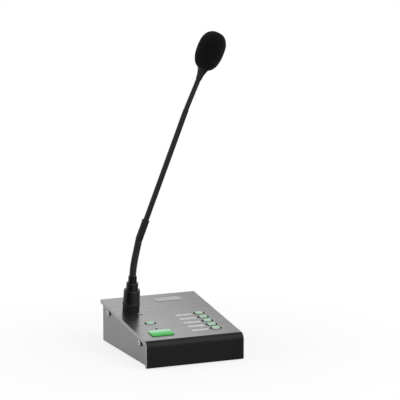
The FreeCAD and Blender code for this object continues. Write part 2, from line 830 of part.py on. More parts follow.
def capsule_housing():
    """Flared housing that carries the capsule inside the foam."""
    mouth = -0.2
    mouth_radius = 2.4
    core = housing_length + 1.0
    top = housing_length + housing_reach
    throat = 0.9
    rim = housing_length + 1.2
    steps = 6
    rises = [step / steps for step in range(steps + 1)]
    curve = Part.BSplineCurve()
    curve.interpolate([Vector(flare_radius(rise), 0, throat + (rim - throat) * rise) for rise in rises])
    corners = [Vector(housing_rim, 0, rim), Vector(housing_neck, 0, rim), Vector(housing_neck, 0, top),
               Vector(capsule_radius, 0, top), Vector(capsule_radius, 0, core), Vector(0, 0, core),
               Vector(0, 0, mouth), Vector(mouth_radius, 0, mouth), Vector(housing_throat, 0, throat)]
    edges = [curve.toShape()]
    for start, end in zip(corners, corners[1:]):
        edges.append(Part.LineSegment(start, end).toShape())
    body = Part.Face(Part.Wire(edges)).revolve(Vector(), z_axis, 360)
    return body.cut(Part.makeSphere(upper_shape["cup"]))


def capsule():
    """Microphone capsule in the top of the housing, with its sound holes."""
    top = housing_length + housing_reach
    depth = 7.0
    hole_radius = 0.5
    body = cylinder(capsule_radius, top - depth, top)
    holes = [cylinder(hole_radius, top - 0.6, top + 1)]
    for place in range(6):
        angle = math.radians(60 * place)
        holes.append(cylinder(hole_radius, top - 0.6, top + 1, 2.5 * math.cos(angle), 2.5 * math.sin(angle)))
    return body.cut(holes)


def foam_outline(height):
    """Radius of the foam by height above its lower end."""
    widest = foam_length * foam_widest
    power = foam_lower_power if height < widest else foam_upper_power
    reach = widest if height < widest else foam_length - widest
    return foam_radius * (1 - (abs(height - widest) / reach) ** power) ** (1 / power)


def windscreen():
    """Egg-shaped foam windscreen with the bore that grips the housing."""
    bottom = 1.2
    heights = [bottom, 2.2, 4.0, 7.0, 11.0, 16.0, 22.0, 28.0, 34.0, 38.5, 42.0, 44.5, 46.0, foam_length]
    curve = Part.BSplineCurve()
    curve.interpolate([Vector(foam_outline(height), 0, housing_length + height) for height in heights])
    start = Vector(foam_outline(bottom), 0, housing_length + bottom)
    top = housing_length + housing_reach + 1.0
    corners = [Vector(0, 0, housing_length + foam_length), Vector(0, 0, top), Vector(housing_neck, 0, top),
               Vector(housing_neck, 0, housing_length + bottom), start]
    edges = [curve.toShape()]
    for one, other in zip(corners, corners[1:]):
        edges.append(Part.LineSegment(one, other).toShape())
    return Part.Face(Part.Wire(edges)).revolve(Vector(), z_axis, 360)


def build():
    """Every sub-part under its own name."""
    nodes = {
        "top_cover": top_cover(),
        "lower_case": lower_case(),
        "rear_panel": rear_panel(),
        "cover_bracket_left": cover_bracket(-1),
        "cover_bracket_right": cover_bracket(1),
        "bracket_screws": bracket_screws(),
        "side_screws": side_screws(),
        "side_washers": side_washers(),
        "rear_panel_screws": rear_panel_screws(),
        "weight_plate": weight_plate(),
        "rubber_feet": rubber_feet(),
        "foot_screws": foot_screws(),
        "name_plate": name_plate(),
        "zone_labels": zone_labels(),
        "power_lens": lens(power_lens_place),
        "talk_lens": lens(talk_lens_place),
        "talk_button": on_panel(talk_button(), talk_place),
        "call_button": on_panel(zone_button(), call_place),
        "main_board": main_board(),
        "board_posts": board_posts(),
        "board_screws": board_screws(),
        "key_switches": key_switches(),
        "key_lamps": key_lamps(),
        "board_chips": board_chips(),
        "link_board": link_board(),
        "ribbon_lead": ribbon_lead(),
        "socket_collar": socket_collar(),
        "socket_insert": socket_insert(),
        "socket_contacts": socket_contacts(),
        "socket_nut": socket_nut(),
        "plug_seal": plug_seal(),
        "plug_body": plug_body(),
        "plug_insert": plug_insert(),
        "plug_pins": plug_pins(),
        "plug_gland": plug_gland(),
        "plug_bush": plug_bush(),
        "neck_ferrule": neck_ferrule(),
        "neck_tube": neck_tube(),
    }
    for number, row in enumerate(zone_rows, 1):
        nodes[f"zone_button_{number}"] = on_panel(zone_button(), (zone_x, row))
    for number, x in enumerate(link_xs, 1):
        nodes[f"link_socket_{number}"] = link_socket(x)
    lower_link = flex_link(lower_step, lower_shape)
    for number in range(lower_links):
        frame = neck_frame(lower_pivots[number], lower_leans[number])
        nodes[f"lower_link_{number + 1}"] = put(lower_link, frame)
    upper_link = flex_link(upper_step, upper_shape)
    for number in range(upper_links):
        frame = neck_frame(upper_pivots[number], upper_leans[number])
        nodes[f"upper_link_{number + 1}"] = put(upper_link, frame)
    head_frame = neck_frame(upper_pivots[-1], upper_leans[-1])
    for name, shape in (("capsule_housing", capsule_housing()), ("capsule", capsule()),
                        ("windscreen", windscreen())):
        nodes[name] = put(shape, head_frame)
    return nodes


os.makedirs("parts", exist_ok=True)
for name, made in build().items():
    shape = Part.makeCompound(made) if isinstance(made, list) else made
    if shape.ShapeType == "Compound" and len(shape.Solids) == 1:
        shape = shape.Solids[0]
    shape.exportStep(f"parts/{name}.step")
    print(name, "valid" if shape.isValid() else "NOT VALID", len(shape.Solids), round(shape.Volume, 1))
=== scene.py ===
import json
import math

import bmesh
import bpy
from mathutils import Matrix, Vector, noise


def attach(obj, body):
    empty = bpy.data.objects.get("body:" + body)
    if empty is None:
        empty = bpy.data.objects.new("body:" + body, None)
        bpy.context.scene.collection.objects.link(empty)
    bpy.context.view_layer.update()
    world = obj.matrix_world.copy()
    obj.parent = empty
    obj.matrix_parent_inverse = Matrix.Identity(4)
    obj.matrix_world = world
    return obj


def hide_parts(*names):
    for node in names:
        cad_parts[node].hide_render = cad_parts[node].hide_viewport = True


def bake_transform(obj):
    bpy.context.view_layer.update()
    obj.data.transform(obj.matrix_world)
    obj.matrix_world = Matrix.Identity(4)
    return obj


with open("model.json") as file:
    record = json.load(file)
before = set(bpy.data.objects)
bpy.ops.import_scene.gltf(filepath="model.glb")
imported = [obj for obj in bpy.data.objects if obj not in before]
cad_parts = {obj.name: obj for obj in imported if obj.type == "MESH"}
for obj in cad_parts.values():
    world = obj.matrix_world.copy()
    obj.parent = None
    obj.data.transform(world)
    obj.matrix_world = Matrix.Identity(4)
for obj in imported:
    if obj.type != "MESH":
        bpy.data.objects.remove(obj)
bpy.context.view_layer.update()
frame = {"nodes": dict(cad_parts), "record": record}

# Paging microphone. Metres. X to the right, -Y to the front, +Z up.

mm = 0.001

# Camera, at the photograph's viewing angle
camera_turn = math.radians(-23.29)
camera_rise = math.radians(9.68)
camera_distance = 2.44
camera_target = Vector((0.01709, -0.04722, 0.18769))
camera_lens = 190.45

# Base, as in the part
panel_slope = math.radians(8.27)
panel_length = 149.8 * mm
plate = 4.5 * mm
rear_edge_height = 53.0 * mm
half_width = 61.0 * mm
front_face = -(panel_length * math.cos(panel_slope) + plate * math.sin(panel_slope)) / 2
rear_edge = Vector((0, front_face + panel_length * math.cos(panel_slope), rear_edge_height))
panel_frame = Matrix.Translation(rear_edge) @ Matrix.Rotation(panel_slope, 4, "X")

# Cable sockets at the back: middle of each, back face, floor, depth and wires
link_xs = (6.0 * mm, 28.0 * mm)
link_face = 71.6 * mm
mouth_floor = 14.2 * mm
mouth_depth = 12.0 * mm
wire_count = 8
wire_pitch = 1.02 * mm
wire_width = 0.42 * mm
wire_thickness = 0.3 * mm

# Neck, in its socket's own frame, straight out of the panel at a place across and down it
neck_place = (-40.0 * mm, 46.9 * mm)
neck_frame = panel_frame @ Matrix.Translation((neck_place[0], -neck_place[1], 0))
bush_top = 43.5 * mm
lower_start = 44.0 * mm
lower_bend = 141.0 * mm
lower_turn = math.radians(9.5)
lower_first = 3.0 * mm
lower_length = 45.5 * mm
lower_links = 7
tube_lean = math.radians(18.15)
tube_radius = 3.2 * mm
tube_reach = 162.4 * mm
upper_lean = math.radians(20.8)
upper_first = 3.2 * mm
upper_length = 38.4 * mm
upper_links = 3
ferrule_radius = 4.3 * mm
ferrule_length = 24.6 * mm
ferrule_core = 6.0 * mm
housing_length = 12.8 * mm
housing_reach = 18.0 * mm
housing_neck = 6.0 * mm

# Wound wire of the two flexible stretches
lower_wire = dict(radius=4.15 * mm, bore=2.2 * mm, pitch=2.3 * mm, groove=0.6 * mm, rows=14)
upper_wire = dict(radius=2.92 * mm, bore=1.6 * mm, pitch=1.25 * mm, groove=0.22 * mm, rows=10)

# Foam windscreen
foam_radius = 16.05 * mm
foam_length = 46.9 * mm
foam_widest = 0.542
foam_lower_power = 2.47
foam_upper_power = 2.40
foam_bottom = 1.2 * mm

# Plain printed bars on the panel: x, distance down the slope, length, height
lamp_dash = (-31.5 * mm, 57.2 * mm, 7.5 * mm, 1.3 * mm)
call_line = (-31.3 * mm, 98.3 * mm, 26.4 * mm, 1.2 * mm)
front_dash = (35.0 * mm, 136.8 * mm, 19.0 * mm, 0.9 * mm)

# Where the black lacquer of the apron begins, down the slope
lacquer_row = 143.3 * mm

# Talk button: first and last row of its painted highlight down the slope, and where its darker sides, painted
# shade, end above the panel
talk_highlight_rows = (118.0 * mm, 133.0 * mm)
talk_shaded_side = (0.5 * mm, 0.9 * mm)


def add(tree, kind, feeds=None, **settings):
    """Adds a shader node, sets its options, and links or fills its inputs."""
    made = tree.nodes.new("ShaderNode" + kind)
    for option, value in settings.items():
        setattr(made, option, value)
    for socket, value in (feeds or {}).items():
        if isinstance(value, bpy.types.NodeSocket):
            tree.links.new(value, made.inputs[socket])
        else:
            made.inputs[socket].default_value = value
    return made


def sums(tree, operation, *values):
    """Output of a math node on numbers or sockets."""
    return add(tree, "Math", dict(enumerate(values)), operation=operation).outputs[0]


def dot(tree, one, other):
    """Output of the dot product of two vectors."""
    return add(tree, "VectorMath", {0: one, 1: other}, operation="DOT_PRODUCT").outputs["Value"]


def inverse(tree, mask):
    """Output that is 1 where a mask is 0."""
    return sums(tree, "SUBTRACT", 1.0, mask)


def spread(tree, value, low, high, to_low, to_high, smooth=False):
    """Output that moves from one number to another as a value passes between two limits."""
    made = add(tree, "MapRange", {"Value": value, "From Min": low, "From Max": high,
                                  "To Min": to_low, "To Max": to_high},
               interpolation_type="SMOOTHSTEP" if smooth else "LINEAR")
    return made.outputs["Result"]


def blended(tree, mask, first, second):
    """Colour that goes from the first to the second as the mask rises."""
    made = add(tree, "Mix", {"Factor": mask}, data_type="RGBA")
    for socket, value in zip([s for s in made.inputs if s.type == "RGBA"], (first, second)):
        if isinstance(value, bpy.types.NodeSocket):
            tree.links.new(value, socket)
        else:
            socket.default_value = (*value, 1.0)
    return next(s for s in made.outputs if s.type == "RGBA")


def own_place(tree):
    """Object coordinates."""
    return add(tree, "TexCoord").outputs["Object"]


def new_group(name, inputs, outputs):
    """Empty node group with named sockets, and its two ends."""
    group = bpy.data.node_groups.new(name, "ShaderNodeTree")
    for label, kind, value in inputs:
        socket = group.interface.new_socket(label, in_out="INPUT", socket_type="NodeSocket" + kind)
        if value is not None:
            socket.default_value = value
    for label, kind in outputs:
        group.interface.new_socket(label, in_out="OUTPUT", socket_type="NodeSocket" + kind)
    return group, group.nodes.new("NodeGroupInput").outputs, group.nodes.new("NodeGroupOutput").inputs


def placed(tree, group, **values):
    """Places a group in a material with its own values."""
    made = tree.nodes.new("ShaderNodeGroup")
    made.node_tree = group
    for label, value in values.items():
        socket = made.inputs[label.replace("_", " ")]
        if isinstance(value, bpy.types.NodeSocket):
            tree.links.new(value, socket)
        else:
            socket.default_value = value
    return made.outputs


def brushed_grain_group():
    """Long fine scratches along X, and broader soft streaks among them."""
    group, given, out = new_group(
        "brushed_grain",
        [("Place", "Vector", None), ("Length", "Float", 0.03),
         ("Width", "Float", 0.0003), ("Broad", "Float", 8.0)],
        [("Tone", "Float"), ("Height", "Float")])
    layers = []
    for wider in (1.0, given["Broad"]):
        along = sums(group, "DIVIDE", 1.0, given["Length"])
        aside = sums(group, "DIVIDE", 1.0, sums(group, "MULTIPLY", given["Width"], wider))
        scale = add(group, "CombineXYZ", {0: along, 1: aside, 2: aside}).outputs[0]
        stretched = add(group, "VectorMath", {0: given["Place"], 1: scale}, operation="MULTIPLY").outputs[0]
        layers.append(add(group, "TexNoise", {"Vector": stretched, "Scale": 1.0, "Detail": 4.0}).outputs[0])
    fine, broad = layers
    tone = sums(group, "ADD", sums(group, "MULTIPLY", fine, 0.4), sums(group, "MULTIPLY", broad, 0.6))
    group.links.new(tone, out["Tone"])
    group.links.new(fine, out["Height"])
    return group


def paint_grain_group():
    """Even fine grain with a faint broad mottle."""
    group, given, out = new_group(
        "paint_grain",
        [("Place", "Vector", None), ("Size", "Float", 0.0004)],
        [("Tone", "Float"), ("Height", "Float")])
    scale = sums(group, "DIVIDE", 1.0, given["Size"])
    fine = add(group, "TexNoise", {"Vector": given["Place"], "Scale": scale, "Detail": 3.0}).outputs[0]
    wide = sums(group, "MULTIPLY", scale, 0.04)
    broad = add(group, "TexNoise", {"Vector": given["Place"], "Scale": wide, "Detail": 2.0}).outputs[0]
    tone = sums(group, "ADD", sums(group, "MULTIPLY", fine, 0.55), sums(group, "MULTIPLY", broad, 0.45))
    group.links.new(tone, out["Tone"])
    group.links.new(fine, out["Height"])
    return group


def edge_wear_and_highlight_group():
    """Mask of the rounded-off outer edges, broken up by noise, for edge wear and a painted edge highlight."""
    group, given, out = new_group(
        "edge_wear_and_highlight",
        [("Place", "Vector", None), ("Radius", "Float", 0.0004)],
        [("Mask", "Float")])
    soft = add(group, "Bevel", {"Radius": given["Radius"]}, samples=4).outputs[0]
    flat = add(group, "NewGeometry").outputs["Normal"]
    edge = spread(group, dot(group, soft, flat), 0.995, 0.8, 0.0, 1.0)
    patch = add(group, "TexNoise", {"Vector": given["Place"], "Scale": 900.0, "Detail": 3.0}).outputs[0]
    broken = sums(group, "MULTIPLY", edge, spread(group, patch, 0.4, 0.6, 0.25, 1.0))
    group.links.new(broken, out["Mask"])
    return group


def panel_lie_group():
    """Distance down the panel's slope, and height above its face."""
    group, given, out = new_group(
        "panel_lie",
        [("Place", "Vector", None)],
        [("Down", "Float"), ("Out", "Float")])
    offset = add(group, "VectorMath", {0: given["Place"], 1: rear_edge}, operation="SUBTRACT").outputs[0]
    down = (0, -math.cos(panel_slope), -math.sin(panel_slope))
    out_of = (0, -math.sin(panel_slope), math.cos(panel_slope))
    group.links.new(dot(group, offset, down), out["Down"])
    group.links.new(dot(group, offset, out_of), out["Out"])
    return group


def printed_bar_group():
    """Mask of a plain printed bar on the panel, with rounded ends."""
    soft = 0.05 * mm
    group, given, out = new_group(
        "printed_bar",
        [("Across", "Float", 0.0), ("Down", "Float", 0.0), ("Middle", "Float", 0.0), ("Row", "Float", 0.0),
         ("Length", "Float", 0.01), ("Height", "Float", 0.001)],
        [("Mask", "Float")])
    radius = sums(group, "DIVIDE", given["Height"], 2.0)
    run = sums(group, "SUBTRACT", sums(group, "DIVIDE", given["Length"], 2.0), radius)
    aside = sums(group, "ABSOLUTE", sums(group, "SUBTRACT", given["Across"], given["Middle"]))
    past = sums(group, "MAXIMUM", sums(group, "SUBTRACT", aside, run), 0.0)
    rise = sums(group, "SUBTRACT", given["Down"], given["Row"])
    reach = sums(group, "SQRT", sums(group, "ADD", sums(group, "MULTIPLY", past, past),
                                     sums(group, "MULTIPLY", rise, rise)))
    inside = sums(group, "SUBTRACT", radius, reach)
    group.links.new(spread(group, inside, -soft, soft, 0.0, 1.0), out["Mask"])
    return group


brushed_grain = brushed_grain_group()
paint_grain = paint_grain_group()
edge_wear_and_highlight = edge_wear_and_highlight_group()
panel_lie = panel_lie_group()
printed_bar = printed_bar_group()


def new_finish(name, **constants):
    """Empty material, with the constants set on its own shader."""
    material = bpy.data.materials.new(name)
    material.use_nodes = True
    tree = material.node_tree
    shader = tree.nodes["Principled BSDF"]
    for label, value in constants.items():
        socket = shader.inputs[label.replace("_", " ")]
        socket.default_value = (*value, 1.0) if isinstance(value, tuple) and len(value) == 3 else value
    return material, tree, shader.inputs


def bumped(tree, height, depth):
    """Normal from a height, with its real depth."""
    return add(tree, "Bump", {"Height": height, "Distance": depth}).outputs[0]


def grained(name, dark, light, rough, size=0.0004, depth=0.00002, wear_and_edge_highlight=None, painted_recess_shade=None, **constants):
    """Painted or moulded finish with an even grain. Edges can be lightened as edge wear and a painted
    highlight, and hollows darkened as painted shade.
    """
    material, tree, shader = new_finish(name, **constants)
    place = own_place(tree)
    grain = placed(tree, paint_grain, Place=place, Size=size)
    even = spread(tree, grain["Tone"], 0.35, 0.65, 0.0, 1.0)
    colour = blended(tree, even, dark, light)
    # Lighter rounded edges: edge wear and a painted edge highlight.
    if wear_and_edge_highlight:
        colour = blended(tree, placed(tree, edge_wear_and_highlight, Place=place)["Mask"], colour, wear_and_edge_highlight)
    # Hollows darkened where ambient occlusion is strong: painted shade.
    if painted_recess_shade:
        open_air = add(tree, "AmbientOcclusion", {"Distance": 0.0012}, samples=8).outputs["AO"]
        colour = blended(tree, spread(tree, open_air, 0.8, 0.4, 0.0, 1.0), colour, painted_recess_shade)
    tree.links.new(colour, shader["Base Color"])
    tree.links.new(spread(tree, even, 0.0, 1.0, *rough), shader["Roughness"])
    tree.links.new(bumped(tree, grain["Height"], depth), shader["Normal"])
    return material


def brushed(name, dark, light, rough, length=0.02):
    """Bare metal, brushed along X."""
    material, tree, shader = new_finish(name, Metallic=1.0)
    grain = placed(tree, brushed_grain, Place=own_place(tree), Length=length, Width=0.0002)
    even = spread(tree, grain["Tone"], 0.3, 0.7, 0.0, 1.0)
    tree.links.new(blended(tree, even, dark, light), shader["Base Color"])
    tree.links.new(spread(tree, even, 0.0, 1.0, *rough), shader["Roughness"])
    tree.links.new(bumped(tree, grain["Height"], 0.000004), shader["Normal"])
    return material


def cover_metal():
    """Brushed top face, paler to the left as a painted sheen, and bare cut edges; black lacquer on the apron,
    and black below the face as painted shade in the holes; and plain printed bars.
    """
    cut_band = (half_width - 0.32 * mm, half_width - 0.27 * mm)
    lacquer_soft = 0.15 * mm
    lacquer_rough = 0.54
    material, tree, shader = new_finish("brushed_cover", Anisotropic=0.2, Specular_IOR_Level=0.23)
    place = own_place(tree)
    across = add(tree, "SeparateXYZ", {0: place}).outputs[0]
    lie = placed(tree, panel_lie, Place=place)
    grain = placed(tree, brushed_grain, Place=place, Length=0.07, Width=0.0004, Broad=6.0)
    even = spread(tree, grain["Tone"], 0.36, 0.64, 0.0, 1.0)
    # Painted sheen: the metal's colour is paler towards the left and front.
    painted_sheen = spread(tree, dot(tree, place, (1.0, 0.1, 0.0)), 0.065, -0.025, 0.0, 1.0)
    dark = blended(tree, painted_sheen, (0.205, 0.205, 0.205), (0.33, 0.33, 0.33))
    light = blended(tree, painted_sheen, (0.29, 0.29, 0.29), (0.45, 0.45, 0.45))
    metal = blended(tree, even, dark, light)
    side_cut = spread(tree, sums(tree, "ABSOLUTE", across), *cut_band, 0.0, 1.0)
    rear_cut = spread(tree, lie["Down"], 0.02 * mm, 0.05 * mm, 1.0, 0.0)
    cut = sums(tree, "MAXIMUM", side_cut, rear_cut)
    apron = spread(tree, lie["Down"], lacquer_row - lacquer_soft, lacquer_row + lacquer_soft, 0.0, 1.0)
    # Everything below the brushed face, hole walls included, is painted black: painted shade in the holes.
    painted_recess_shade = spread(tree, lie["Out"], -0.00035, -0.00015, 1.0, 0.0)
    lacquer_and_painted_shade = sums(tree, "MULTIPLY", sums(tree, "MAXIMUM", apron, painted_recess_shade), inverse(tree, cut))
    printed = 0.0
    for mark, strength in ((lamp_dash, 0.9), (call_line, 0.4), (front_dash, 0.35)):
        bar = placed(tree, printed_bar, Across=across, Down=lie["Down"], Middle=mark[0], Row=mark[1],
                     Length=mark[2], Height=mark[3])
        printed = sums(tree, "MAXIMUM", sums(tree, "MULTIPLY", bar["Mask"], strength), printed)
    colour = blended(tree, printed, metal, (0.6, 0.6, 0.61))
    colour = blended(tree, cut, colour, (0.42, 0.42, 0.42))
    colour = blended(tree, lacquer_and_painted_shade, colour, (0.0072, 0.0072, 0.0072))
    bare = inverse(tree, sums(tree, "MAXIMUM", lacquer_and_painted_shade, printed))
    rough = spread(tree, even, 0.0, 1.0, 0.25, 0.3)
    rough = sums(tree, "ADD", sums(tree, "MULTIPLY", bare, rough),
                 sums(tree, "MULTIPLY", inverse(tree, bare), lacquer_rough))
    tree.links.new(colour, shader["Base Color"])
    tree.links.new(sums(tree, "SUBTRACT", bare, sums(tree, "MULTIPLY", cut, 0.6)), shader["Metallic"])
    tree.links.new(sums(tree, "ADD", rough, sums(tree, "MULTIPLY", cut, 0.1)), shader["Roughness"])
    tree.links.new(bumped(tree, sums(tree, "MULTIPLY", grain["Height"], bare), 0.0000005), shader["Normal"])
    along = add(tree, "Tangent", direction_type="RADIAL", axis="X").outputs[0]
    tree.links.new(along, shader["Tangent"])
    return material


def key_cap(name, top, side, rim):
    """Small button's moulding: coloured top on pale sides, and black below the panel face as painted shade in
    its hole.
    """
    material, tree, shader = new_finish(name, Specular_IOR_Level=0.5)
    place = own_place(tree)
    lie = placed(tree, panel_lie, Place=place)
    grain = placed(tree, paint_grain, Place=place, Size=0.0003)
    above = spread(tree, lie["Out"], rim - 0.0001, rim + 0.0001, 0.0, 1.0)
    # Painted shade: the cap goes black below the panel face, in its hole.
    painted_gap_shade = spread(tree, lie["Out"], -0.0006, -0.0001, 1.0, 0.0)
    shade = blended(tree, grain["Tone"], tuple(0.9 * part for part in top), top)
    colour = blended(tree, above, side, shade)
    tree.links.new(blended(tree, painted_gap_shade, colour, (0.03, 0.03, 0.03)), shader["Base Color"])
    tree.links.new(spread(tree, grain["Tone"], 0.3, 0.7, 0.24, 0.34), shader["Roughness"])
    tree.links.new(bumped(tree, grain["Height"], 0.000005), shader["Normal"])
    return material


def talk_cap():
    """Large button: green, with a painted highlight paler towards the back, and painted shade on its darker
    sides.
    """
    material, tree, shader = new_finish("bright_green", Specular_IOR_Level=0.2, Coat_Weight=0.35,
                                        Coat_Roughness=0.06)
    place = own_place(tree)
    lie = placed(tree, panel_lie, Place=place)
    grain = placed(tree, paint_grain, Place=place, Size=0.0004)
    # Painted highlight: the green is paler towards the back.
    highlight_ramp = spread(tree, lie["Down"], *talk_highlight_rows, 1.0, 0.0)
    painted_highlight = sums(tree, "MULTIPLY", highlight_ramp, highlight_ramp)
    # Painted shade: the sides below the top are darker.
    top = spread(tree, lie["Out"], *talk_shaded_side, 0.0, 1.0)
    colour = blended(tree, painted_highlight, (0.02, 0.43, 0.04), (0.44, 0.84, 0.56))
    tree.links.new(blended(tree, top, (0.04, 0.2, 0.06), colour), shader["Base Color"])
    tree.links.new(spread(tree, grain["Tone"], 0.35, 0.65, 0.3, 0.4), shader["Roughness"])
    tree.links.new(bumped(tree, grain["Height"], 0.000002), shader["Normal"])
    return material


def foam():
    """Open-cell foam: matt black with small pores."""
    material, tree, shader = new_finish("black_foam", Specular_IOR_Level=0.05, Sheen_Weight=0.045,
                                        Sheen_Roughness=0.5)
    place = own_place(tree)
    cells = add(tree, "TexVoronoi", {"Vector": place, "Scale": 1300.0}, feature="F1").outputs["Distance"]
    pore = spread(tree, cells, 0.15, 0.6, 0.0, 1.0, smooth=True)
    patch = add(tree, "TexNoise", {"Vector": place, "Scale": 420.0, "Detail": 3.0}).outputs[0]
    tone = sums(tree, "MULTIPLY", pore, spread(tree, patch, 0.3, 0.7, 0.5, 1.0))
    tree.links.new(blended(tree, tone, (0.0016, 0.0016, 0.0016), (0.006, 0.006, 0.006)), shader["Base Color"])
    tree.links.new(spread(tree, tone, 0.0, 1.0, 0.85, 1.0), shader["Roughness"])
    tree.links.new(bumped(tree, pore, 0.00015), shader["Normal"])
    return material


def board_lacquer():
    """Circuit board: solder mask over tracks, with small pads."""
    material, tree, shader = new_finish("board_green", Specular_IOR_Level=0.5)
    place = own_place(tree)
    tracks = add(tree, "TexBrick", {"Vector": place, "Scale": 180.0, "Mortar Size": 0.08, "Brick Width": 1.7,
                                    "Row Height": 0.4}, offset=0.35).outputs["Fac"]
    pads = add(tree, "TexVoronoi", {"Vector": place, "Scale": 260.0}, feature="F1").outputs["Distance"]
    pad = spread(tree, pads, 0.12, 0.16, 1.0, 0.0)
    mask = blended(tree, tracks, (0.012, 0.13, 0.05), (0.02, 0.2, 0.08))
    tree.links.new(blended(tree, pad, mask, (0.55, 0.5, 0.36)), shader["Base Color"])
    tree.links.new(spread(tree, tracks, 0.0, 1.0, 0.3, 0.42), shader["Roughness"])
    tree.links.new(bumped(tree, tracks, 0.00003), shader["Normal"])
    return material


finishes = {
    "brushed_cover": cover_metal(),
    # Case edges lighter: edge wear and a painted edge highlight.
    "case_grey": grained("case_grey", (0.235, 0.236, 0.236), (0.261, 0.262, 0.262), (0.42, 0.52),
                         wear_and_edge_highlight=(0.275, 0.275, 0.275), Specular_IOR_Level=0.4),
    "plain_steel": brushed("plain_steel", (0.42, 0.42, 0.42), (0.6, 0.6, 0.6), (0.3, 0.45)),
    # Screw recesses darkened: painted shade.
    "screw_steel": grained("screw_steel", (0.8, 0.8, 0.78), (0.9, 0.9, 0.88), (0.2, 0.3), depth=0.000002,
                           painted_recess_shade=(0.01, 0.01, 0.01), Metallic=0.55),
    "black_steel": grained("black_steel", (0.012, 0.012, 0.012), (0.02, 0.02, 0.02), (0.4, 0.55)),
    "black_rubber": grained("black_rubber", (0.012, 0.012, 0.012), (0.022, 0.022, 0.022), (0.7, 0.9),
                            depth=0.00004, Specular_IOR_Level=0.3),
    "pale_plate": grained("pale_plate", (0.4, 0.4, 0.4), (0.44, 0.44, 0.44), (0.3, 0.4), depth=0.000003),
    "pale_label": grained("pale_label", (0.54, 0.54, 0.545), (0.6, 0.6, 0.605), (0.45, 0.6), size=0.0002,
                          depth=0.000003),
    "dark_lens": grained("dark_lens", (0.02, 0.015, 0.01), (0.04, 0.03, 0.02), (0.08, 0.15), depth=0.000002),
    "light_green": key_cap("light_green", (0.34, 0.6, 0.39), (0.56, 0.56, 0.56), 0.0008),
    "bright_green": talk_cap(),
    "board_green": board_lacquer(),
    "black_plastic": grained("black_plastic", (0.006, 0.006, 0.006), (0.01, 0.01, 0.01), (0.45, 0.6),
                             Specular_IOR_Level=0.2),
    "lamp_white": grained("lamp_white", (0.62, 0.62, 0.52), (0.8, 0.8, 0.7), (0.2, 0.3)),
    "grey_lead": grained("grey_lead", (0.3, 0.3, 0.32), (0.4, 0.4, 0.42), (0.45, 0.6)),
    "contact_brass": brushed("contact_brass", (0.62, 0.44, 0.17), (0.78, 0.58, 0.28), (0.2, 0.35),
                             length=0.004),
    # Neck and rod edges lighter: edge wear and a painted edge highlight.
    "neck_black": grained("neck_black", (0.003, 0.003, 0.003), (0.005, 0.005, 0.005), (0.28, 0.34),
                          size=0.0006, depth=0.000003, wear_and_edge_highlight=(0.012, 0.012, 0.012)),
    "rod_black": grained("rod_black", (0.0095, 0.0095, 0.0095), (0.013, 0.013, 0.013), (0.44, 0.54),
                         depth=0.000004, wear_and_edge_highlight=(0.024, 0.024, 0.024), Specular_IOR_Level=0.35),
    "black_foam": foam(),
}


def dress_nodes():
    """Gives every CAD node the finish of its slot."""
    for part in frame["record"]["subparts"]:
        mesh = frame["nodes"][part["node"]].data
        mesh.materials.clear()
        mesh.materials.append(finishes[part["material_slot"]])


def leaning(offset, height, lean):
    """Frame on the neck, with z along it, by its place in the neck's own upright plane."""
    return neck_frame @ Matrix.Translation((offset, 0, height)) @ Matrix.Rotation(lean, 4, "Y")


def lower_place(distance):
    """Offset, height and lean on the lower stretch: a short bend, then straight."""
    bend_length = lower_bend * lower_turn
    angle = min(distance, bend_length) / lower_bend
    offset = lower_bend * (1 - math.cos(angle))
    height = lower_start + lower_bend * math.sin(angle)
    onward = max(distance - bend_length, 0)
    return offset + onward * math.sin(angle), height + onward * math.cos(angle), angle


top_offset, top_height = lower_place(lower_length)[:2]


def tube_place(distance):
    """Offset, height and lean on the line of the tube, from its lower joint."""
    return top_offset + math.sin(tube_lean) * distance, top_height + math.cos(tube_lean) * distance, tube_lean


def upper_place(distance):
    """Offset, height and lean on the upper stretch, from the tube's end."""
    offset, height, lean = tube_place(tube_reach + min(distance, upper_first))
    onward = max(distance - upper_first, 0)
    if onward:
        lean = upper_lean
    return offset + math.sin(upper_lean) * onward, height + math.cos(upper_lean) * onward, lean


head_frame = leaning(*upper_place(upper_length))


def turned(profile, steps, rounding=0.0):
    """Solid turned about Z from points of radius and height; its corners can be rounded."""
    form = bmesh.new()
    corners = [form.verts.new((radius, 0, height)) for radius, height in profile]
    open_ended = profile[0][0] == 0 and profile[-1][0] == 0
    following = corners[1:] if open_ended else corners[1:] + corners[:1]
    for one, other in zip(corners, following):
        form.edges.new((one, other))
    if rounding:
        sharp = corners[1:-1] if open_ended else corners
        bmesh.ops.bevel(form, geom=sharp, offset=rounding, segments=3, profile=0.5,
                        affect="VERTICES", material=-1)
    bmesh.ops.spin(form, geom=form.verts[:] + form.edges[:], cent=(0, 0, 0), axis=(0, 0, 1),
                   angle=math.tau, steps=steps, use_merge=True)
    bmesh.ops.remove_doubles(form, verts=form.verts, dist=1e-7)
    bmesh.ops.recalc_face_normals(form, faces=form.faces)
    return form


def finished(name, form, finish, body=None, stands_for=(), crease=40.0):
    """Turns a form into a named piece with its finish and body."""
    mesh = bpy.data.meshes.new(name)
    form.to_mesh(mesh)
    form.free()
    mesh.shade_smooth()
    mesh.set_sharp_from_angle(angle=math.radians(crease))
    mesh.materials.append(finishes[finish])
    piece = bpy.data.objects.new(name, mesh)
    bpy.context.collection.objects.link(piece)
    if body:
        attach(piece, body)
    if stands_for:
        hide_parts(*stands_for)
    return piece


def wound_wire(turn):
    """Depth of the groove beside a wound wire's crest, from 0 at the crest to 1 in the groove."""
    return 1 - math.sqrt(max(0.0, 1 - (2 * (turn % 1.0) - 1) ** 2))


